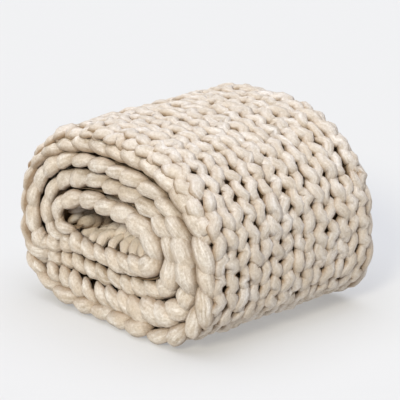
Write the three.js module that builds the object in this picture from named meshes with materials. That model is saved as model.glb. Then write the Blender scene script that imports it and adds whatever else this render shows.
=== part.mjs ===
// Chunky knit throw, rolled up and lying on its side.
// Millimetres, +Z up. The roll's axis lies along Y, the floor is at z = 0.

import * as THREE from "three";

// Roll: half width, heights above and below its widest level, length along the axis
const HALF_WIDTH = 185;
const TOP = 142.5;
const BOTTOM = 118.5;
const LENGTH = 312;

// How square the upper and the lower half of the roll are (2 is an ellipse)
const SQUARE_TOP = 2.28;
const SQUARE_BOTTOM = 3.17;

// Flat core that the turns close in on, its place off the middle and over the widest level,
// and the gap between turns
const CORE_HALF_WIDTH = 62;
const CORE_HALF_HEIGHT = 5;
const CORE_SHIFT = -20;
const CORE_RISE = 5;
const TURN_GAP = 4;

// Angles round the roll, in degrees from +X towards +Z: the loose end tucked under the back,
// and the end of the cloth inside
const LOOSE_END = -153;
const INNER_END = 574;

// Where each turn slips inside the one before it: first and last angle in degrees,
// and the share of the way to the core that it moves in
const SLIPS = [
  { from: 188, to: 244, share: 0.48 },
  { from: 543, to: 598, share: 0.42 },
  { from: 890, to: 950, share: 0.13 },
];

// Knit: width of a stitch column, columns on the face, height of a row, relief of the yarn
const WALE = 38;
const WALES = 7;
const ROW = 28;
const RELIEF = 4.5;

// Rounded tip at both ends of the cloth: its length, and its thickness as a share of the cloth's
const TIP = 8;
const TIP_SHARE = 0.55;

// Flat spot on the floor: the face is pressed to z = 0 where it comes this low
const PRESSED = 7;

// Stitch relief over one column, at the middle of a row and between two rows:
// place across the column, then height as a share of RELIEF; the deep points are the holes
const STITCH = [
  { name: "seam", middle: [-0.5, -1.9], between: [-0.5, 0.1] },
  { name: "left leg", middle: [-0.2, 1], between: [-0.3, 0.9] },
  { name: "centre", middle: [0, 0.1], between: [0, -1.9] },
  { name: "right leg", middle: [0.2, 1], between: [0.3, 0.9] },
];

// Thickness of the cloth from which its stitches have their full relief
const FULL_RELIEF = 45;

// Edge chain at each end of the roll: distance in from the end, at the middle of a row
// and between two rows, and depth as a share of the cloth's thickness
const EDGE = [
  { name: "shoulder", middle: 12, between: 10, depth: 0.07 },
  { name: "outer strand", middle: 0, between: 5, depth: 0.27 },
  { name: "notch", middle: 8, between: 12, depth: 0.52 },
  { name: "inner strand", middle: 5, between: 0, depth: 0.78 },
  { name: "inside", middle: 14, between: 14, depth: 1 },
];

const { degToRad, radToDeg, lerp, smoothstep } = THREE.MathUtils;

// Point of a loop of the given half sizes, at an angle round the roll
function loopPoint(angle, halfWidth, top, bottom) {
  const c = Math.cos(angle);
  const s = Math.sin(angle);
  const square = s > 0 ? SQUARE_TOP : SQUARE_BOTTOM;
  const height = s > 0 ? top : bottom;
  return new THREE.Vector2(
    halfWidth * Math.sign(c) * Math.abs(c) ** (2 / square),
    height * Math.sign(s) * Math.abs(s) ** (2 / square),
  );
}

// Depth of the outer face, as a share of the way from the outline to the core
function faceShare(angle) {
  const degrees = radToDeg(angle);
  let share = 0;
  for (const slip of SLIPS) {
    share += slip.share * smoothstep(degrees, slip.from, slip.to);
  }
  return share;
}

// Outer and inner face of the cloth at an angle
function clothAt(angle) {
  const outline = loopPoint(angle, HALF_WIDTH, TOP, BOTTOM);
  const core = loopPoint(angle, CORE_HALF_WIDTH, CORE_HALF_HEIGHT, CORE_HALF_HEIGHT);
  core.x += CORE_SHIFT;
  core.y += CORE_RISE;
  const way = outline.distanceTo(core);
  const from = faceShare(angle) + RELIEF / way;
  const to = faceShare(angle + 2 * Math.PI) - TURN_GAP / way;
  const outer = outline.clone().lerp(core, from);
  const inner = outline.clone().lerp(core, to);
  return { outer, inner };
}

// Angles spaced half a row apart along the outer face, from the loose end to the end inside
function rowAngles() {
  const first = degToRad(LOOSE_END);
  const last = degToRad(INNER_END);
  const fine = 4000;
  const lengths = [0];
  let before = clothAt(first).outer;
  for (let i = 1; i <= fine; i += 1) {
    const here = clothAt(lerp(first, last, i / fine)).outer;
    lengths.push(lengths[i - 1] + here.distanceTo(before));
    before = here;
  }
  const steps = 2 * Math.round(lengths[fine] / ROW);
  const angles = [];
  let at = 0;
  for (let i = 0; i <= steps; i += 1) {
    while (at < fine && lengths[at] < (lengths[fine] * i) / steps) {
      at += 1;
    }
    angles.push(lerp(first, last, at / fine));
  }
  return angles;
}

// Outline of the cloth across the roll at one half row: place along the axis,
// depth as a share of the thickness, and height above the face
function profile(phase) {
  const points = [];
  for (let i = 0; i < WALES; i += 1) {
    const centre = (i - (WALES - 1) / 2) * WALE;
    for (const point of STITCH) {
      const [across, height] = point[phase];
      points.push({ y: centre + across * WALE, depth: 0, height: height * RELIEF });
    }
  }
  points.push({ y: (WALES * WALE) / 2, depth: 0, height: STITCH[0][phase][1] * RELIEF });
  for (const point of EDGE) {
    points.push({ y: LENGTH / 2 - point[phase], depth: point.depth, height: 0 });
  }
  for (const point of [...EDGE].reverse()) {
    points.push({ y: point[phase] - LENGTH / 2, depth: point.depth, height: 0 });
  }
  return points;
}

// One ring of points round the cloth; share thins it towards its middle, shift moves it along
function ring(angle, phase, share, shift) {
  const { outer, inner } = clothAt(angle);
  const inward = inner.clone().sub(outer);
  const thickness = inward.length();
  inward.divideScalar(thickness);
  const along = new THREE.Vector2(-inward.y, inward.x).multiplyScalar(shift);
  const relief = Math.min(1, thickness / FULL_RELIEF);
  const isPressed = outer.y + BOTTOM < PRESSED;
  return profile(phase).map((point) => {
    const fromMiddle = (point.depth - 0.5) * thickness - relief * point.height;
    const place = outer.clone().addScaledVector(inward, thickness / 2 + share * fromMiddle);
    place.add(along);
    const level = isPressed && point.depth === 0 ? 0 : place.y + BOTTOM;
    return new THREE.Vector3(place.x, point.y, Math.max(level, 0));
  });
}

// Closed skin through the rings, with both ends of the cloth capped
function throwGeometry() {
  const angles = rowAngles();
  const rings = angles.map((angle, i) => ring(angle, i % 2 === 1 ? "middle" : "between", 1, 0));
  rings.unshift(ring(angles[0], "between", TIP_SHARE, TIP));
  rings.push(ring(angles[angles.length - 1], "between", TIP_SHARE, -TIP));

  const size = rings[0].length;
  const index = [];
  for (let i = 0; i + 1 < rings.length; i += 1) {
    for (let j = 0; j < size; j += 1) {
      const a = i * size + j;
      const b = i * size + ((j + 1) % size);
      index.push(a, b, a + size, b, b + size, a + size);
    }
  }
  const flat = profile("between").map(({ y, depth, height }) => new THREE.Vector2(y, 50 * depth - height));
  const end = (rings.length - 1) * size;
  for (const [a, b, c] of THREE.ShapeUtils.triangulateShape(flat, [])) {
    index.push(a, c, b);
    index.push(end + a, end + b, end + c);
  }

  const geometry = new THREE.BufferGeometry();
  geometry.setFromPoints(rings.flat());
  geometry.setIndex(index);
  geometry.computeVertexNormals();
  return geometry;
}

const yarn = new THREE.MeshStandardMaterial({ color: 0xdfd1bd, roughness: 0.9, metalness: 0 });
const rolledThrow = new THREE.Mesh(throwGeometry(), yarn);
rolledThrow.name = "throw";

const part = new THREE.Group();
part.add(rolledThrow);

export default part;
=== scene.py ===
"""Chunky knit throw, rolled up and lying on its side: yarn, floor, light and camera.

Lengths are in millimetres, and in metres from the meshes on.
"""

import math
from typing import NamedTuple

import bmesh
import bpy
import numpy as np
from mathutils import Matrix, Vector


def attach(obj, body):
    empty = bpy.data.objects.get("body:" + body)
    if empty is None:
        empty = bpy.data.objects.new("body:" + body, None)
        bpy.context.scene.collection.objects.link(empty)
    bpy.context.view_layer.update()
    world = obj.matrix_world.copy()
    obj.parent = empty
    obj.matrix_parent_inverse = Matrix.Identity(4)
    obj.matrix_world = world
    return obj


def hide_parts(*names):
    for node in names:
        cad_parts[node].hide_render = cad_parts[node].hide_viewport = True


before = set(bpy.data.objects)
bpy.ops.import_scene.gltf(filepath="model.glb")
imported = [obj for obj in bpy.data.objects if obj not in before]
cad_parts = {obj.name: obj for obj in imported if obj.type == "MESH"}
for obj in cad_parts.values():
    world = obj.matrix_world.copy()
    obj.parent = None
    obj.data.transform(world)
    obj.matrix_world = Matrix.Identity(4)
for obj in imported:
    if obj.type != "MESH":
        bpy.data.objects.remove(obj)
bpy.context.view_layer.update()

SEED = 8
rng = np.random.default_rng(SEED)
MM = 0.001

# The roll as the solid has it: half width, heights above and below its widest level, length,
# and how square its upper and lower half are
HALF_WIDTH, TOP, BOTTOM, LENGTH = 185.0, 142.5, 118.5, 312.0
SQUARE_TOP, SQUARE_BOTTOM = 2.28, 3.17

# Flat core that the turns close in on, and the gap between turns
CORE_HALF_WIDTH, CORE_HALF_HEIGHT, CORE_SHIFT, CORE_RISE = 62.0, 5.0, -20.0, 5.0
TURN_GAP = 4.0

# Both ends of the cloth, and where each turn slips inside the one before it, in degrees round the
# roll from +X towards +Z; a slip ends with the share of the way to the core that it moves in
LOOSE_END, INNER_END = -153.0, 574.0
SLIPS = ((188, 244, 0.48), (543, 598, 0.42), (890, 950, 0.13))

# The knit: width of a column of stitches, columns on the face, height of a row, radius of the yarn
WALE, WALES, ROW, YARN = 38.0, 7, 28.0, 10.2


def smooth(value, low, high):
    """Smooth step from 0 at low to 1 at high."""
    t = np.clip((value - low) / (high - low), 0.0, 1.0)
    return t * t * (3 - 2 * t)


def loop_point(angle, half_width, top, bottom):
    """Points of a loop round the roll, in the plane across it."""
    c, s = np.cos(angle), np.sin(angle)
    square = np.where(s > 0, SQUARE_TOP, SQUARE_BOTTOM)
    height = np.where(s > 0, top, bottom)
    x = half_width * np.sign(c) * np.abs(c) ** (2 / square)
    z = height * np.sign(s) * np.abs(s) ** (2 / square)
    return np.stack([x, z], -1)


def face_share(angle):
    """Depth of the outer face, as a share of the way from the outline to the core."""
    degrees = np.degrees(angle)
    return sum(share * smooth(degrees, low, high) for low, high, share in SLIPS)


# The cloth's run: crests of its outer face, way in and thickness, by length from the loose end;
# it goes on for some degrees past both ends of the cloth, for strands that reach over them
RUN_STEPS, RUN_BEFORE, RUN_AFTER = 9000, 35, 20
THINNEST = 8.0
first, last = math.radians(LOOSE_END), math.radians(INNER_END)
run_angle = np.linspace(first - math.radians(RUN_BEFORE), last + math.radians(RUN_AFTER), RUN_STEPS)
outline = loop_point(run_angle, HALF_WIDTH, TOP, BOTTOM)
core = loop_point(run_angle, CORE_HALF_WIDTH, CORE_HALF_HEIGHT, CORE_HALF_HEIGHT)
core += np.array([CORE_SHIFT, CORE_RISE])
way = np.linalg.norm(core - outline, axis=1)
run_inward = (core - outline) / way[:, None]
run_crest = outline + run_inward * (face_share(run_angle) * way)[:, None]
run_thick = (face_share(run_angle + 2 * np.pi) - face_share(run_angle)) * way - TURN_GAP
run_steps = np.linalg.norm(np.diff(run_crest, axis=0), axis=1)
run_length = np.concatenate([[0], np.cumsum(run_steps)])
run_length -= np.interp(first, run_angle, run_length)
CLOTH_LENGTH = float(np.interp(last, run_angle, run_length))
ROWS = round(CLOTH_LENGTH / ROW)
ROW_STEP = CLOTH_LENGTH / ROWS


def length_at(degrees):
    """Length along the cloth at an angle round the roll."""
    return float(np.interp(math.radians(degrees), run_angle, run_length))


def row_at(degrees):
    """Row of stitches at an angle round the roll."""
    return int(length_at(degrees) / ROW_STEP)


def along_run(table, s):
    """A value of the cloth's run at lengths s."""
    if table.ndim == 1:
        return np.interp(s, run_length, table)
    return np.stack([np.interp(s, run_length, table[:, i]) for i in range(table.shape[1])], -1)


def thickness(s):
    """Thickness of the cloth at lengths s."""
    return np.maximum(along_run(run_thick, s), THINNEST)


def inward_at(s):
    """Direction into the roll at lengths s, in the plane across it."""
    inward = along_run(run_inward, s)
    return inward / np.linalg.norm(inward, axis=-1, keepdims=True)


def in_roll(s, y, depth):
    """Places in the roll at lengths s, places y along the axis and depths under the crests."""
    flat = along_run(run_crest, s) + inward_at(s) * depth[..., None]
    return np.stack([flat[..., 0], y, flat[..., 1] + BOTTOM], -1)


def across(flat, y):
    """Directions from their parts across the roll and along its axis."""
    return np.stack([flat[..., 0], y, flat[..., 1]], -1)


def over(s):
    """How far over the top of the roll: 1 at the top, 0 at its sides and below."""
    return np.maximum(np.sin(along_run(run_angle, s)), 0.0)


# Sine of the angle below the widest level from which a place is fully under the roll
FULLY_UNDER = 0.8


def under(s):
    """How far under the roll: 1 at the bottom, 0 at its sides and above."""
    return smooth(-np.sin(along_run(run_angle, s)), 0.0, FULLY_UNDER)


# Slow unevenness of hand knitting, along the cloth and aside: height of a wave, its spread along
# the axis and along the cloth, and its phase
WAVES_ALONG = ((2.4, 47, 120, 0.0), (1.8, 21, -67, 1.0))
WAVES_ASIDE = ((1.8, 90, 71, 0.0), (1.2, 37, 29, 2.0))


def wander(waves, s, y):
    """Shift of the knit by slow waves."""
    return sum(
        height * np.sin(y / axis_spread + s / cloth_spread + phase)
        for height, axis_spread, cloth_spread, phase in waves
    )


# A strand is a plump spindle of a few dozen faces, laid along a curve
SIDES, RINGS = 8, 10
SHARES = np.arange(RINGS + 1) / RINGS

# Its fullness (a power: 1 is an arch from tip to tip, 0 a tube), its lumps, and the lowest it lies
FULLNESS, LUMPS, LOWEST = 0.6, 0.025, 0.25

# Its fibres: repeats of their map round it and along it, and the range of random shifts of the map
FIBRE_REPEATS, FIBRE_SHIFTS = (6.0, 5.0), 40

# Painted shade, where a strand hides between its neighbours: from its crest down to its sides, and
# towards its tips; how much shade a tip takes, and the spread of tones from strand to strand
SHADED_SIDE, SHADED_TIP, TIP_SHADE = (-1.0, -0.05), (0.3, 0.9), 0.7
TONE_MEAN, TONE_SPREAD = 0.5, 0.2


class Laid(NamedTuple):
    """Strands in the roll: curves and ways out (n, rings, 3), radii (n) and flatness."""

    curves: np.ndarray
    outs: np.ndarray
    radii: np.ndarray
    flatness: float


def spline(points):
    """Smooth curves through control points (n, k, 3), read at the rings of a strand."""
    k = points.shape[1]
    before = 2 * points[:, :1] - points[:, 1:2]
    after = 2 * points[:, -1:] - points[:, -2:-1]
    ends = np.concatenate([before, points, after], 1)
    at = SHARES * (k - 1)
    i = np.minimum(at.astype(int), k - 2)
    f = (at - i)[None, :, None]
    p0, p1, p2, p3 = ends[:, i], ends[:, i + 1], ends[:, i + 2], ends[:, i + 3]
    bend = 2 * p0 - 5 * p1 + 4 * p2 - p3
    twist = 3 * p1 - p0 - 3 * p2 + p3
    return 0.5 * (2 * p1 + (p2 - p0) * f + bend * f**2 + twist * f**3)


def uneven(curve, count, each, whole):
    """Copies of a strand's curve, each a little different in its points and as a whole."""
    points = np.repeat(np.array(curve)[None], count, 0)
    points += rng.normal(0, 1, points.shape) * np.array(each)
    return points + rng.normal(0, 1, (count, 1, 3)) * np.array(whole)


def add_piece(name, mesh):
    """A new object of the scene."""
    piece = bpy.data.objects.new(name, mesh)
    bpy.context.scene.collection.objects.link(piece)
    return piece


def strand_form():
    """One spindle, pole to pole along Z, with its own map round it and along it."""
    form = bmesh.new()
    form.loops.layers.uv.new("strand")
    bmesh.ops.create_uvsphere(form, u_segments=SIDES, v_segments=RINGS, radius=1.0, calc_uvs=True)
    bmesh.ops.recalc_face_normals(form, faces=form.faces)
    return form


def strands(name, laid, painted_shade_share=1.0):
    """One mesh of all strands laid; the last argument says how strongly shade is painted into their
    hidden parts.
    """
    curves = np.concatenate([part.curves for part in laid])
    outs = np.concatenate([part.outs for part in laid])
    radii = np.concatenate([part.radii for part in laid])
    flatness = np.concatenate([np.full(len(part.radii), part.flatness) for part in laid])
    count = len(curves)

    form = strand_form()
    local = np.array([v.co[:] for v in form.verts])
    faces = [[v.index for v in f.verts] for f in form.faces]
    uv_layer = form.loops.layers.uv["strand"]
    uv = np.array([loop[uv_layer].uv[:] for f in form.faces for loop in f.loops])
    form.free()
    size = len(local)
    ring = np.rint(np.arccos(np.clip(-local[:, 2], -1, 1)) / math.pi * RINGS).astype(int)
    turn = np.arctan2(local[:, 1], local[:, 0])
    off_axis = ((ring > 0) & (ring < RINGS)).astype(float)

    tangent = np.gradient(curves, axis=1)
    tangent /= np.linalg.norm(tangent, axis=2, keepdims=True)
    up = outs - (outs * tangent).sum(2, keepdims=True) * tangent
    up /= np.linalg.norm(up, axis=2, keepdims=True)
    side = np.cross(up, tangent)
    plump = np.sin(np.pi * SHARES) ** FULLNESS
    width = radii[:, None] * plump * rng.normal(1, LUMPS, (count, RINGS + 1))
    aside = np.cos(turn)[None, :, None] * side[:, ring]
    raised = flatness[:, None, None] * np.sin(turn)[None, :, None] * up[:, ring]
    place = curves[:, ring] + (width[:, ring] * off_axis)[..., None] * (aside + raised)
    place = place.reshape(-1, 3)
    place[:, 2] = np.maximum(place[:, 2], LOWEST)

    mesh = bpy.data.meshes.new(name)
    all_faces = [[v + i * size for v in f] for i in range(count) for f in faces]
    mesh.from_pydata((place * MM).tolist(), [], all_faces)
    mesh.polygons.foreach_set("use_smooth", np.ones(len(mesh.polygons), bool))

    laid_uv = uv[None] * np.array(FIBRE_REPEATS) * (radii / YARN)[:, None, None]
    laid_uv = laid_uv + rng.uniform(0, FIBRE_SHIFTS, (count, 1, 2))
    fibre_map = mesh.uv_layers.new(name="strand")
    fibre_map.data.foreach_set("uv", laid_uv.reshape(-1).astype(np.float32))

    # Painted shade: darker, browner colour on each strand's underside and towards its tips
    below = smooth(-np.sin(turn) * off_axis, *SHADED_SIDE)
    dive = smooth(np.abs(2 * SHARES[ring] - 1), *SHADED_TIP)
    painted_shade = painted_shade_share * np.tile(1 - (1 - below) * (1 - TIP_SHADE * dive), count)
    tone = np.repeat(np.clip(rng.normal(TONE_MEAN, TONE_SPREAD, count), 0, 1), size)
    for attribute, values in (("painted_shade", painted_shade), ("tone", tone)):
        at_points = mesh.attributes.new(attribute, "FLOAT", "POINT")
        at_points.data.foreach_set("value", values.astype(np.float32))
    mesh.update()
    return add_piece(name, mesh)


# One leg of a stitch: place across the column, place along the rows, depth of its middle under the
# crests; its unevenness point by point and as a whole
LEG = (
    (0.280, -1.00, 17.0),
    (0.328, -0.75, 11.2),
    (0.258, -0.50, 7.6),
    (0.172, -0.25, 6.0),
    (0.250, 0.0, 5.6),
    (0.328, 0.25, 6.0),
    (0.242, 0.50, 8.0),
    (0.172, 0.75, 12.0),
    (0.220, 1.00, 18.0),
)
LEG_UNEVEN = (0.035, 0.05, 0.6), (0.025, 0.07, 0.9)

# Line that a leg swings about, its swing and the spread of that, and the spread of its radius
LEG_LINE, LEG_SWING, SWING_SPREAD, LEG_SPREAD = 0.25, 1.35, 0.18, 0.09
LEG_FLATNESS = 0.56

# Start of a column's first row and its spread, in rows, and the first length that a stitch reaches
ROW_START, ROW_SPREAD, FIRST_STITCH = 0.25, 0.06, 2.0

# A column dropped to round the roll's edge: how far it leans out and moves in for each millimetre
DROP_LEAN, DROP_INSET = 0.15, 1.5


def column_place(column):
    """Middle of a column of stitches along the axis, in columns from the roll's middle."""
    return column - (WALES - 1) / 2


def leg_chain(rows, column, hand, drop=0.0):
    """Legs of one side of a column of stitches, row after row."""
    curve = spline(uneven(LEG, len(rows), *LEG_UNEVEN))
    swing = rng.normal(LEG_SWING, SWING_SPREAD, (len(rows), 1))
    aside = LEG_LINE + (curve[..., 0] - LEG_LINE) * swing
    y = (column_place(column) + hand * aside) * WALE
    s = (rows[:, None] + ROW_START + rng.normal(0, ROW_SPREAD) - curve[..., 1]) * ROW_STEP
    ds, dy = wander(WAVES_ALONG, s, y), wander(WAVES_ASIDE, s, y)
    radii = YARN * rng.normal(1, LEG_SPREAD, len(rows))
    s = np.maximum(s + ds, FIRST_STITCH)
    outs = across(-inward_at(s), DROP_LEAN * drop * np.sign(y))
    curves = in_roll(s, y + dy - DROP_INSET * drop * np.sign(y), curve[..., 2] + drop)
    return Laid(curves, outs, radii, LEG_FLATNESS)


def face_legs(rows, columns):
    """Legs of the stitches in rows and columns of the outer face."""
    return [leg_chain(rows, column, hand) for column in columns for hand in (-1, 1)]


# One strand of a rope: place across it and depth under its crest in shares of the rope's radius,
# place along it in links; and the radius of the strand, as a share of the rope's
TWIST = (
    (0.55, -1.25, 0.60),
    (0.53, -0.80, 0.24),
    (0.30, -0.38, 0.05),
    (0.0, 0.0, 0.0),
    (-0.30, 0.38, 0.05),
    (-0.53, 0.80, 0.24),
    (-0.55, 1.25, 0.60),
)
PLY = 0.80
ROPE_STEPS = 900


def rope_links(first_s, last_s, depth, link):
    """Middles of a rope's strands, as lengths along the cloth, and the length of each."""
    s = np.linspace(first_s, last_s, ROPE_STEPS)
    run = in_roll(s, np.zeros_like(s), depth(s))
    steps = np.linalg.norm(np.diff(run, axis=0), axis=1) / link(s[1:])
    count = np.concatenate([[0], np.cumsum(steps)])
    at = np.arange(0.5, count[-1])
    span = np.interp(at + 0.5, count, s) - np.interp(at - 0.5, count, s)
    return np.interp(at, count, s)[:, None], span[:, None]


# Shoulder chain: start as a length, end as an angle; unevenness of its leaves, spread of their
# radii and flatness
SHOULDER_START, SHOULDER_END = -10.0, 218
SHOULDER_UNEVEN = (0.06, 0.04, 0.03), (0.15, 0.08, 0.08)
SHOULDER_SPREAD, SHOULDER_FLATNESS = 0.07, 0.78

# Its depth under the crests, and how much deeper it lies at top and bottom than at the sides,
# at the top than at the bottom, and under the roll
SHOULDER_DEPTH, DEEPER_OFF_SIDES, DEEPER_ON_TOP, DEEPER_UNDER = 16.5, 1.5, 7.0, 2.0

# Its radius, fatter under the roll and thinner over it; its distance in from the roll's end,
# less under the roll; the length of its links, shorter over the roll
SHOULDER_FAT, FATTER_UNDER, THINNER_OVER = 12.0, 1.2, 0.6
SHOULDER_INSET, FURTHER_OUT_UNDER = 14.0, 4.0
SHOULDER_LINK, SHORTER_OVER = 36.0, 4.0

# A leaf's reach in links, what is left of its reach past the loose end, and how far it dives into
# the roll and along the axis and slants in both, in shares of its radius
LEAF_REACH, REACH_PAST_END = 0.74, 0.2
LEAF_DIVE, LEAF_SINK, LEAF_SLANT, LEAF_SKEW = 0.55, 0.8, 0.6, 0.4

# How far the leaves turn to the roll's end, and how much more under it: at the end that the
# photograph shows and at the far one
LEAF_TURN, NEAR_TURN_UNDER, FAR_TURN_UNDER = 0.6, 1.8, 0.3


def shoulder_chain(end):
    """The outermost chain at an end, which rounds the roll's edge: leaves, each over the next."""

    def depth(s):
        angle = along_run(run_angle, s)
        off_sides = SHOULDER_DEPTH - DEEPER_OFF_SIDES * np.cos(2 * angle)
        return off_sides + DEEPER_ON_TOP * np.sin(angle) + DEEPER_UNDER * under(s)

    def link(s):
        return SHOULDER_LINK - SHORTER_OVER * over(s)

    middle, span = rope_links(SHOULDER_START, length_at(SHOULDER_END), depth, link)
    curve = spline(uneven(TWIST, len(middle), *SHOULDER_UNEVEN))
    fat = SHOULDER_FAT + FATTER_UNDER * under(middle) - THINNER_OVER * over(middle)
    angle = along_run(run_angle, middle)
    aside = np.maximum(np.cos(angle), 0.0)
    s = middle + LEAF_REACH * span * curve[..., 1]
    s = np.where(s > 0, s, REACH_PAST_END * s)
    slant = LEAF_SLANT * (np.sin(angle) - aside) * curve[..., 0]
    deep = depth(s) + fat * (LEAF_DIVE * curve[..., 2] + slant)
    chain_y = LENGTH / 2 - SHOULDER_INSET + FURTHER_OUT_UNDER * under(middle)
    sunk = fat * (LEAF_SINK * curve[..., 2] + LEAF_SKEW * aside * curve[..., 0])
    curves = in_roll(s, end * (chain_y - sunk), deep)
    turn_under = NEAR_TURN_UNDER if end < 0 else FAR_TURN_UNDER
    outs = across(-inward_at(s), end * (LEAF_TURN + turn_under * under(s)))
    radii = fat[:, 0] * rng.normal(1, SHOULDER_SPREAD, len(middle))
    return Laid(curves, outs, radii, SHOULDER_FLATNESS)


class Rope(NamedTuple):
    """How a thick rope of the cloth's edge lies."""

    # Loss of radius over the roll, as a share of the cloth's thickness
    thin_over: float
    # Whether it lies at the cloth's inner face or its outer one, and its radii off that face
    at_inner_face: bool
    radii_off_face: float
    # Further depth, and how much less of that at the left, the lower right corner and the bottom
    deeper: float
    less_at_left: float
    less_at_corner: float
    less_at_bottom: float
    # Further distance in from the roll's end
    tucked: float
    # How strongly its strands slant under the roll and lean at its right side
    slant: float
    lean: float


OUTER_TURN_ROPE = Rope(
    thin_over=0.085,
    at_inner_face=True,
    radii_off_face=1.12,
    deeper=0.0,
    less_at_left=0.0,
    less_at_corner=4.0,
    less_at_bottom=-1.0,
    tucked=0.0,
    slant=1.0,
    lean=0.5,
)
INNER_FACE_ROPE = Rope(
    thin_over=0.02,
    at_inner_face=True,
    radii_off_face=1.0,
    deeper=0.5,
    less_at_left=3.0,
    less_at_corner=3.0,
    less_at_bottom=0.0,
    tucked=3.0,
    slant=0.75,
    lean=0.15,
)
OUTER_FACE_ROPE = Rope(
    thin_over=0.02,
    at_inner_face=False,
    radii_off_face=1.0,
    deeper=-3.5,
    less_at_left=4.0,
    less_at_corner=5.0,
    less_at_bottom=2.5,
    tucked=7.0,
    slant=0.75,
    lean=0.15,
)

# Radius of a rope: its share of the cloth's thickness, least and most
ROPE_SHARE, THINNEST_ROPE, THICKEST_ROPE = 0.275, 8.0, 21.0

# Length of a rope's links, less under the roll; unevenness and flatness of its strands
ROPE_LINK, ROPE_SHORTER_UNDER = 32.0, 8.0
ROPE_UNEVEN, ROPE_FLATNESS = ((0.05, 0.05, 0.03), (0.12, 0.08, 0.06)), 0.72

# Reach of its strands in links, less over and under the roll, and their slant under and over it
STRAND_REACH, LESS_REACH_OVER, LESS_REACH_UNDER = 0.85, 0.12, 0.2
SLANT_UNDER, SLANT_OVER = 1.3, 0.6

# Radius of its strands in shares of its own, less over and under the roll, and the spread of that
STRAND_FAT, LESS_FAT_OVER, LESS_FAT_UNDER, STRAND_SPREAD = 1.04, 0.08, 0.26, 0.1

# Its distance in from the roll's end, and in shares of its strands' radius
ROPE_INSET, ROPE_SUNK = 1.5, 0.72


def edge_rope(end, first_s, last_s, rope):
    """A thick rope of the cloth's edge on an end of the roll."""

    def fat(s):
        share = ROPE_SHARE - rope.thin_over * over(s)
        return np.clip(thickness(s) * share, THINNEST_ROPE, THICKEST_ROPE)

    def depth(s):
        angle = along_run(run_angle, s)
        left = np.maximum(-np.cos(angle), 0.0)
        corner = np.where(np.cos(angle) > 0, np.maximum(-np.sin(2 * angle), 0.0), 0.0)
        off_face = rope.radii_off_face * fat(s)
        in_cloth = thickness(s) - off_face if rope.at_inner_face else off_face
        less = rope.less_at_left * left + rope.less_at_corner * corner
        return in_cloth + rope.deeper - less - rope.less_at_bottom * under(s)

    def link(s):
        return ROPE_LINK - ROPE_SHORTER_UNDER * under(s)

    middle, span = rope_links(first_s, last_s, depth, link)
    curve = spline(uneven(TWIST, len(middle), *ROPE_UNEVEN))
    above, below = over(middle), under(middle) * rope.slant
    aside = np.maximum(np.cos(along_run(run_angle, middle)), 0.0) * rope.lean
    reach = STRAND_REACH - LESS_REACH_OVER * above - LESS_REACH_UNDER * below
    s = middle + span * reach * curve[..., 1]
    slant = (SLANT_UNDER * below - SLANT_OVER * above - aside) * curve[..., 0]
    deep = depth(s) + fat(s) * slant
    sunk = ROPE_INSET + rope.tucked + fat(s) * (ROPE_SUNK * PLY + curve[..., 2])
    outs = across(np.zeros((*s.shape, 2)), np.full_like(s, end))
    share = STRAND_FAT - LESS_FAT_OVER * above - LESS_FAT_UNDER * below
    radii = fat(middle) * share * rng.normal(1, STRAND_SPREAD, (len(middle), 1))
    curves = in_roll(s, end * (LENGTH / 2 - sunk), deep)
    return Laid(curves, outs, radii[:, 0], ROPE_FLATNESS)


# Where the outer turn's rope begins, as a length, and the inner turn's ropes, as an angle
OUTER_ROPE_START, INNER_ROPES_START = 0.5 * ROW, 205


def edge_ropes(end):
    """Ropes of one edge: shoulder chain and one more on the outer turn, two on the turn inside."""
    inner_turn = length_at(INNER_ROPES_START)
    return [
        shoulder_chain(end),
        edge_rope(end, OUTER_ROPE_START, inner_turn, OUTER_TURN_ROPE),
        edge_rope(end, inner_turn, CLOTH_LENGTH, INNER_FACE_ROPE),
        edge_rope(end, inner_turn, CLOTH_LENGTH, OUTER_FACE_ROPE),
    ]


# Chain along an end of the cloth: unevenness, reach in links, and flatness of its loops
CAST_OFF_UNEVEN = (0.03, 0.03, 0.02), (0.05, 0.06, 0.04)
CAST_OFF_REACH, CAST_OFF_FLATNESS = 0.7, 0.95


def cast_off(s_end, depth, fat, way_along, count):
    """Chain of loops along an end of the cloth, across the roll."""
    curve = spline(uneven(TWIST, count, *CAST_OFF_UNEVEN))
    loops = np.arange(count)[:, None] + 0.5 - count / 2
    y = (loops + CAST_OFF_REACH * curve[..., 1]) * WALE / 2
    s = s_end + way_along * fat * (1 - PLY - curve[..., 2])
    outs = across(-inward_at(s), np.zeros_like(s))
    curves = in_roll(s, y, depth - fat * curve[..., 0])
    return Laid(curves, outs, np.full(count, PLY * fat), CAST_OFF_FLATNESS)


# One loop of the back of the knit: place across the column, place along the rows, depth from the
# inner face; its unevenness, its place in a row, its radius with its spread, its flatness, and the
# least depth under the outer face
LOOP = (
    (-0.40, -0.26, 15.0),
    (-0.25, -0.02, 9.5),
    (0.0, 0.12, 7.5),
    (0.25, -0.02, 9.5),
    (0.40, -0.26, 15.0),
)
LOOP_UNEVEN = (0.03, 0.04, 0.8), (0.04, 0.08, 1.2)
LOOP_ROW, LOOP_OFF_ROW = 0.5, 0.25
LOOP_FAT, LOOP_SPREAD, LOOP_FLATNESS = 8.2, 0.07, 0.9
LOOP_LEAST_DEPTH = 11.0

# Rise of the hollow's floor away from its mouths: its height, the angles over which it starts and
# ends, and the distances from the roll's middle over which it dies away
HEAVE = 22.0
HEAVE_STARTS, HEAVE_ENDS, HEAVE_DIES_AWAY = (240, 262), (310, 350), (80, 140)


def heave(s, y):
    """How far the floor of the roll's hollow rises away from its mouths."""
    angle = np.degrees(along_run(run_angle, s))
    round_it = smooth(angle, *HEAVE_STARTS) * (1 - smooth(angle, *HEAVE_ENDS))
    return HEAVE * round_it * (1 - smooth(np.abs(y), *HEAVE_DIES_AWAY))


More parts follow.
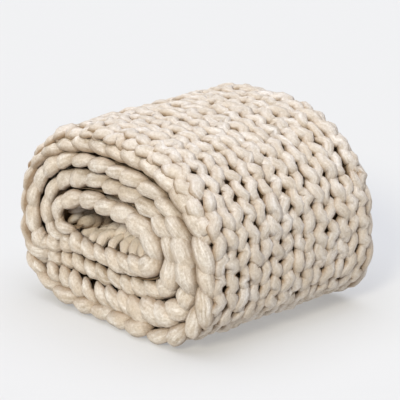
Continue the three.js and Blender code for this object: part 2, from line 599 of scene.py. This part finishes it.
def back_loops(rows, columns):
    """Loops on the inner face: one in each column, and one the other way round between columns."""
    laid = []
    for column in columns:
        for hand, half_column in ((-1, 0.0), (1, 0.5)):
            curve = spline(uneven(LOOP, len(rows), *LOOP_UNEVEN))
            y = (column_place(column) + curve[..., 0] + half_column) * WALE
            s = (rows[:, None] + LOOP_ROW + hand * (curve[..., 1] - LOOP_OFF_ROW)) * ROW_STEP
            outs = across(inward_at(s), np.zeros_like(s))
            depth = np.maximum(thickness(s) - curve[..., 2], LOOP_LEAST_DEPTH)
            curves = in_roll(s, y, depth + heave(s, y))
            radii = LOOP_FAT * rng.normal(1, LOOP_SPREAD, len(rows))
            laid.append(Laid(curves, outs, radii, LOOP_FLATNESS))
    return laid


# The ground: faces along and across the cloth, distance from the cloth's ends, half width
GROUND_ROWS, GROUND_COLUMNS, GROUND_MARGIN, GROUND_HALF_WIDTH = 400, 14, 4.0, 142

# Its depth under the face on the outer turn and how much deeper it lies at its edges; where that
# turn ends, and how far from the roll's middle its edges begin to sink and to come near the face
GROUND_DEPTH, GROUND_EDGE_DEEPER = 15.0, 7.0
GROUND_LEAVES_FACE, GROUND_EDGE_SINKS, GROUND_EDGE_SHOWS = (195, 240), 120, 118


def ground_sheet(name):
    """The cloth itself behind the stitches, as one thin sheet.

    It lies near the face on the outer turn and at its edges, and else halfway through the cloth.
    """
    form = bmesh.new()
    form.loops.layers.uv.new("strand")
    bmesh.ops.create_grid(
        form, x_segments=GROUND_ROWS, y_segments=GROUND_COLUMNS, size=1.0, calc_uvs=True
    )
    grid = np.array([v.co[:] for v in form.verts])
    s = (grid[:, 0] + 1) / 2 * (CLOTH_LENGTH - 2 * GROUND_MARGIN) + GROUND_MARGIN
    y = grid[:, 1] * GROUND_HALF_WIDTH
    off_middle = np.abs(y)
    sinks = smooth(off_middle, GROUND_EDGE_SINKS, GROUND_HALF_WIDTH)
    shows = smooth(off_middle, GROUND_EDGE_SHOWS, GROUND_HALF_WIDTH)
    leaves, left = (length_at(degrees) for degrees in GROUND_LEAVES_FACE)
    halfway = thickness(s) / 2
    near_face = np.minimum(halfway, GROUND_DEPTH + GROUND_EDGE_DEEPER * sinks)
    shown = np.maximum(1 - smooth(s, leaves, left), shows)
    place = in_roll(s, y, halfway + (near_face - halfway) * shown) * MM
    for v, p in zip(form.verts, place):
        v.co = p
    mesh = bpy.data.meshes.new(name)
    form.to_mesh(mesh)
    form.free()
    mesh.polygons.foreach_set("use_smooth", np.ones(len(mesh.polygons), bool))
    return add_piece(name, mesh)


# Angles round the roll where runs of stitches begin and end; drop of the columns that round the
# roll's top edges, and distance of the end chains from the cloth's ends
OUTER_TURN_END, HOLLOW_START, CORNER_START = 226, 232, 485
TOP_START, TOP_END = 28, 158
TOP_EDGE_DROP, CHAIN_MARGIN = 4.0, 4.0

outer_rows = np.arange(0, row_at(OUTER_TURN_END))
inner_rows = np.arange(row_at(OUTER_TURN_END), ROWS)
hollow_rows = np.arange(row_at(HOLLOW_START), row_at(CORNER_START))
corner_rows = np.arange(row_at(CORNER_START), ROWS)
top_rows = np.arange(row_at(TOP_START), row_at(TOP_END))
all_columns, end_columns = range(WALES), (0, WALES - 1)
columns_near_ends = (0, 1, WALES - 2, WALES - 1)

top_edges = [
    leg_chain(top_rows, -1, 1, TOP_EDGE_DROP),
    leg_chain(top_rows, WALES, -1, TOP_EDGE_DROP),
]
face_yarn = strands("face_stitches", face_legs(outer_rows, all_columns) + top_edges)
between_turns = face_legs(inner_rows, columns_near_ends) + back_loops(outer_rows, end_columns)
inner_yarn = strands("inner_stitches", between_turns)
# The last argument of a piece, where given, is how strongly shade is painted into its strands'
# hidden parts
edge_yarn = strands("edge_ropes", edge_ropes(-1) + edge_ropes(1), painted_shade_share=0.92)
end_chains = [
    cast_off(CHAIN_MARGIN, depth=9.0, fat=10.0, way_along=-1, count=2 * WALES),
    cast_off(CLOTH_LENGTH - CHAIN_MARGIN, depth=14.0, fat=14.0, way_along=1, count=2 * WALES - 2),
]
end_yarn = strands("end_chains", end_chains, painted_shade_share=0.6)
back_yarn = strands("back_loops", back_loops(hollow_rows, all_columns), painted_shade_share=0.0)
corner_yarn = strands("corner_loops", back_loops(corner_rows, all_columns))
ground = ground_sheet("knit_ground")
yarns = [face_yarn, inner_yarn, edge_yarn, end_yarn, back_yarn, corner_yarn]


def add_node(tree, kind, values=None, sources=None):
    """A shader node with its socket values and its incoming links, by socket name or number."""
    node = tree.nodes.new(kind)
    for socket, value in (values or {}).items():
        node.inputs[socket].default_value = value
    for socket, source in (sources or {}).items():
        tree.links.new(source, node.inputs[socket])
    return node


def noise(tree, vector, scale, detail, rough):
    """Noise at a vector."""
    values = {"Scale": scale, "Detail": detail, "Roughness": rough}
    return add_node(tree, "ShaderNodeTexNoise", values, {"Vector": vector}).outputs["Fac"]


def in_range(tree, value, low, high, to_low, to_high):
    """A value of one range taken to another."""
    values = {"From Min": low, "From Max": high, "To Min": to_low, "To Max": to_high}
    return add_node(tree, "ShaderNodeMapRange", values, {"Value": value}).outputs["Result"]


# Sockets of the mix node that take and give colours
MIX_SHARE, MIX_COLOURS, MIX_RESULT = 0, (6, 7), 2


def blend(tree, share, first_colour, second_colour, kind="MIX"):
    """Mix of two colours; each is a value or a link."""
    node = tree.nodes.new("ShaderNodeMix")
    node.data_type = "RGBA"
    node.blend_type = kind
    tree.links.new(share, node.inputs[MIX_SHARE])
    for socket, colour in zip(MIX_COLOURS, (first_colour, second_colour)):
        if isinstance(colour, tuple):
            node.inputs[socket].default_value = (*colour, 1)
        else:
            tree.links.new(colour, node.inputs[socket])
    return node.outputs[MIX_RESULT]


# Ranges of noise that make up the full change of fibres, fuzz and patches
FIBRE_RANGE, FUZZ_RANGE, PATCH_RANGE = (0.36, 0.64), (0.36, 0.64), (0.38, 0.66)


def fibre_group():
    """Wool fibres that run along the strands, fuzz over them, and slow patches of tone."""
    tree = bpy.data.node_groups.new("wool_fibres", "ShaderNodeTree")
    for name in ("Fibre", "Fuzz", "Patch"):
        tree.interface.new_socket(name, in_out="OUTPUT", socket_type="NodeSocketFloat")
    strand = tree.nodes.new("ShaderNodeUVMap")
    strand.uv_map = "strand"
    stretch = {"Scale": (1.5, 0.40, 1.0), "Rotation": (0, 0, 0.3)}
    mapping = add_node(tree, "ShaderNodeMapping", stretch, {"Vector": strand.outputs["UV"]})
    place = tree.nodes.new("ShaderNodeTexCoord").outputs["Object"]
    fibre = noise(tree, mapping.outputs["Vector"], scale=1.0, detail=4.0, rough=0.65)
    fuzz = noise(tree, place, scale=300, detail=3.0, rough=0.7)
    patch = noise(tree, place, scale=36, detail=3.0, rough=0.6)
    results = tree.nodes.new("NodeGroupOutput")
    tree.links.new(in_range(tree, fibre, *FIBRE_RANGE, 0, 1), results.inputs["Fibre"])
    tree.links.new(in_range(tree, fuzz, *FUZZ_RANGE, 0, 1), results.inputs["Fuzz"])
    tree.links.new(in_range(tree, patch, *PATCH_RANGE, 0, 1), results.inputs["Patch"])
    return tree


def point_value(tree, name):
    """A value that the mesh carries at its points."""
    node = tree.nodes.new("ShaderNodeAttribute")
    node.attribute_name = name
    return node.outputs["Fac"]


fibres = fibre_group()

# Most that tone, patches and painted shade change a yarn's colour, the tint of its mottling, and
# its roughness from its least fuzz to its most
MOST_TONE, MOST_PATCH, MOST_PAINTED_SHADE = 0.45, 0.6, 0.85
MOTTLE_TINT = (0.70, 0.645, 0.58)
LEAST_ROUGH, MOST_ROUGH = 0.8, 0.98


def yarn_material(name, light, dark, warm, deep, mottled=0.5):
    """Wool of light and dark fibres, warm in patches, with shade painted into its nooks in the deep
    colour, and mottled by fuzz.
    """
    material = bpy.data.materials.new(name)
    material.use_nodes = True
    tree = material.node_tree
    shader = tree.nodes["Principled BSDF"]
    shader.inputs["Specular IOR Level"].default_value = 0.1
    shader.inputs["Sheen Weight"].default_value = 0.2
    shader.inputs["Sheen Roughness"].default_value = 0.45
    shader.inputs["Sheen Tint"].default_value = (1.0, 0.9, 0.76, 1)
    wool = tree.nodes.new("ShaderNodeGroup")
    wool.node_tree = fibres
    fibre, fuzz, patch = (wool.outputs[output] for output in ("Fibre", "Fuzz", "Patch"))

    plain = blend(tree, fibre, dark, light)
    tone = in_range(tree, point_value(tree, "tone"), 0, 1, 0.0, MOST_TONE)
    toned = blend(tree, tone, plain, light)
    patched = blend(tree, in_range(tree, patch, 0, 1, 0.0, MOST_PATCH), toned, warm)
    # Painted shade: the deep colour over the strands' hidden undersides and tips
    painted_shade = in_range(tree, point_value(tree, "painted_shade"), 0, 1, 0.0, MOST_PAINTED_SHADE)
    shaded = blend(tree, painted_shade, patched, deep)
    mottle = in_range(tree, fuzz, 0, 1, 0.0, mottled)
    colour = blend(tree, mottle, shaded, MOTTLE_TINT, "MULTIPLY")
    tree.links.new(colour, shader.inputs["Base Color"])

    rough = in_range(tree, fuzz, 0, 1, LEAST_ROUGH, MOST_ROUGH)
    tree.links.new(rough, shader.inputs["Roughness"])
    height = add_node(tree, "ShaderNodeMath", None, {0: fibre, 1: fuzz}).outputs[0]
    bump = {"Strength": 0.5, "Distance": 0.0012}
    relief = add_node(tree, "ShaderNodeBump", bump, {"Height": height})
    tree.links.new(relief.outputs["Normal"], shader.inputs["Normal"])
    return material


# A yarn's deep colour is the painted shade in its nooks
cream = yarn_material(
    "cream_yarn",
    light=(0.88, 0.835, 0.79),
    dark=(0.57, 0.495, 0.405),
    warm=(0.70, 0.60, 0.48),
    deep=(0.32, 0.205, 0.11),
)
thick_yarn = yarn_material(
    "thick_yarn",
    light=(0.95, 0.905, 0.85),
    dark=(0.50, 0.42, 0.325),
    warm=(0.78, 0.67, 0.545),
    deep=(0.29, 0.185, 0.10),
    mottled=0.6,
)
# Lighter copy of the cream wool for the loops in the roll's hollow: painted light, brightening the
# hollow beyond what the lamps give
painted_light_hollow_yarn = yarn_material(
    "inner_yarn",
    light=(0.96, 0.88, 0.80),
    dark=(0.80, 0.71, 0.60),
    warm=(0.90, 0.79, 0.68),
    deep=(0.60, 0.46, 0.30),
    mottled=0.25,
)
# Colour of the cloth behind the stitches: a dark brown that is painted shade, for where it shows
# through holes and gaps
shaded_yarn = yarn_material(
    "shade_painted_ground_yarn",
    light=(0.40, 0.265, 0.15),
    dark=(0.28, 0.18, 0.095),
    warm=(0.34, 0.22, 0.12),
    deep=(0.28, 0.18, 0.095),
)
for piece in yarns:
    piece.data.materials.append({edge_yarn: thick_yarn, back_yarn: painted_light_hollow_yarn}.get(piece, cream))
ground.data.materials.append(shaded_yarn)

for piece in (*yarns, ground):
    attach(piece, "root")
    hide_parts("throw")

# Floor, with a little light of its own so that shadows on it stay pale
FLOOR_HALF_SIZE = 8.0
floor_form = bmesh.new()
bmesh.ops.create_grid(floor_form, x_segments=2, y_segments=2, size=FLOOR_HALF_SIZE)
floor_mesh = bpy.data.meshes.new("floor")
floor_form.to_mesh(floor_mesh)
floor_form.free()
floor = add_piece("floor", floor_mesh)
pale = bpy.data.materials.new("pale_floor")
pale.use_nodes = True
surface = pale.node_tree.nodes["Principled BSDF"]
surface.inputs["Base Color"].default_value = (0.404, 0.40, 0.392, 1)
surface.inputs["Roughness"].default_value = 0.9
surface.inputs["Emission Color"].default_value = (0.98, 0.98, 0.98, 1)
surface.inputs["Emission Strength"].default_value = 0.326
floor_mesh.materials.append(pale)


LIGHT_HEIGHT = 3


def soft_light(name, azimuth, elevation, width, strength, colour):
    """A wide light far away, so that it is even over the floor.

    Angles are in degrees, azimuth from -Y towards +X.
    """
    lamp = bpy.data.lights.new(name, "SUN")
    lamp.angle = math.radians(width)
    lamp.energy = strength
    lamp.color = colour
    holder = bpy.data.objects.new(name, lamp)
    holder.rotation_euler = (math.radians(90 - elevation), 0, math.radians(azimuth))
    holder.location = (0, 0, LIGHT_HEIGHT)
    bpy.context.scene.collection.objects.link(holder)


soft_light(
    "overhead_light",
    azimuth=0,
    elevation=90,
    width=80,
    strength=2.52,
    colour=(0.935, 0.985, 1.125),
)
soft_light(
    "camera_light",
    azimuth=28,
    elevation=32,
    width=14,
    strength=1.95,
    colour=(1.0, 0.94, 0.78),
)

# White surroundings, dim as light, but as bright as the floor where the camera sees them
SURROUNDINGS_LIGHT, SURROUNDINGS_SEEN = 0.28, 0.88
world = bpy.data.worlds.new("studio")
bpy.context.scene.world = world
world.use_nodes = True
backdrop = world.node_tree.nodes["Background"]
backdrop.inputs["Color"].default_value = (1, 1, 1, 1)
seen = add_node(world.node_tree, "ShaderNodeLightPath").outputs["Is Camera Ray"]
brightness = in_range(world.node_tree, seen, 0, 1, SURROUNDINGS_LIGHT, SURROUNDINGS_SEEN)
world.node_tree.links.new(brightness, backdrop.inputs["Strength"])

# Camera at the photograph's angle, in degrees and metres, and its aim off the roll's middle
CAMERA_AZIMUTH, CAMERA_ELEVATION, CAMERA_DISTANCE = 47.32, 19.3, 3.64
AIM_RIGHT, AIM_ABOVE = 0.0047, 0.0176
SENSOR_WIDTH, FOCAL_LENGTH, FARTHEST_SEEN = 36, 252, 50
camera_azimuth, camera_elevation = math.radians(CAMERA_AZIMUTH), math.radians(CAMERA_ELEVATION)
level = math.cos(camera_elevation)
back = Vector(
    (
        math.sin(camera_azimuth) * level,
        -math.cos(camera_azimuth) * level,
        math.sin(camera_elevation),
    )
)
right = Vector((math.cos(camera_azimuth), math.sin(camera_azimuth), 0))
above = back.cross(right)
roll_middle = Vector((0, 0, BOTTOM * MM))
lens = bpy.data.cameras.new("camera")
lens.sensor_width = SENSOR_WIDTH
lens.lens = FOCAL_LENGTH
lens.clip_end = FARTHEST_SEEN
camera = bpy.data.objects.new("camera", lens)
camera.location = roll_middle + back * CAMERA_DISTANCE
aim = roll_middle + right * AIM_RIGHT + above * AIM_ABOVE
camera.rotation_euler = (aim - camera.location).to_track_quat("-Z", "Y").to_euler()
bpy.context.scene.collection.objects.link(camera)
bpy.context.scene.camera = camera
bpy.context.scene.view_settings.view_transform = "Standard"
